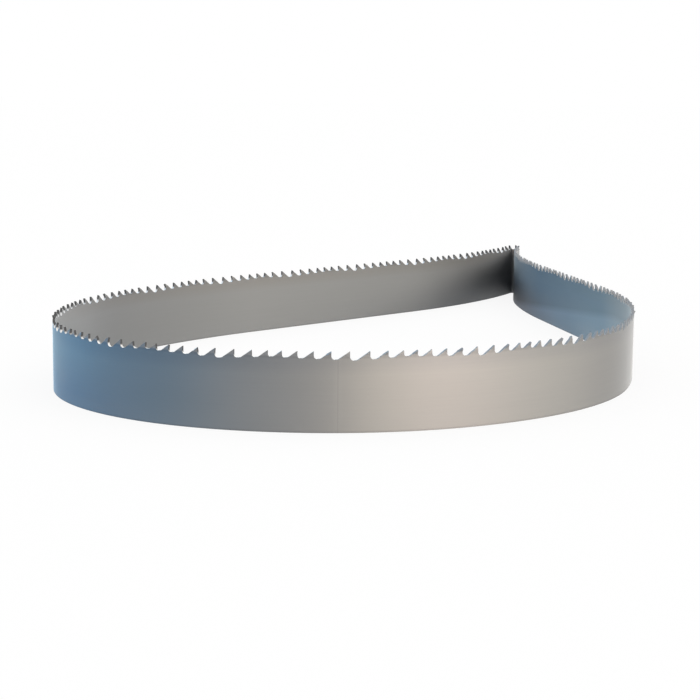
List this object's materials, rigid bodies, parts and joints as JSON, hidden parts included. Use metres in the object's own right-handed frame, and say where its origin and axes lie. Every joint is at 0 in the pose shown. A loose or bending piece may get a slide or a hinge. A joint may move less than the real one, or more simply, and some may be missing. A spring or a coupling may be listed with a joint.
{
  "type": "band saw blade",
  "caption": "Closed loop of flat steel band with set saw teeth of changing pitch along one edge, standing on its plain back edge.",
  "frame": {"origin": "centre of the loop's bounding box in plan, at the height of the back edge that it stands on", "axes": "+Z from the back edge up to the tooth tips; -Y towards the round front of the loop; the sharp fold lies at +Y, towards +X"},
  "size_m": [0.2868, 0.5264, 0.034],
  "materials": {
    "blade": "satin rolled and hardened steel, faint grain along the band"
  },
  "bodies": {
    "root": {"blade": "blade"}
  },
  "joints": []
}
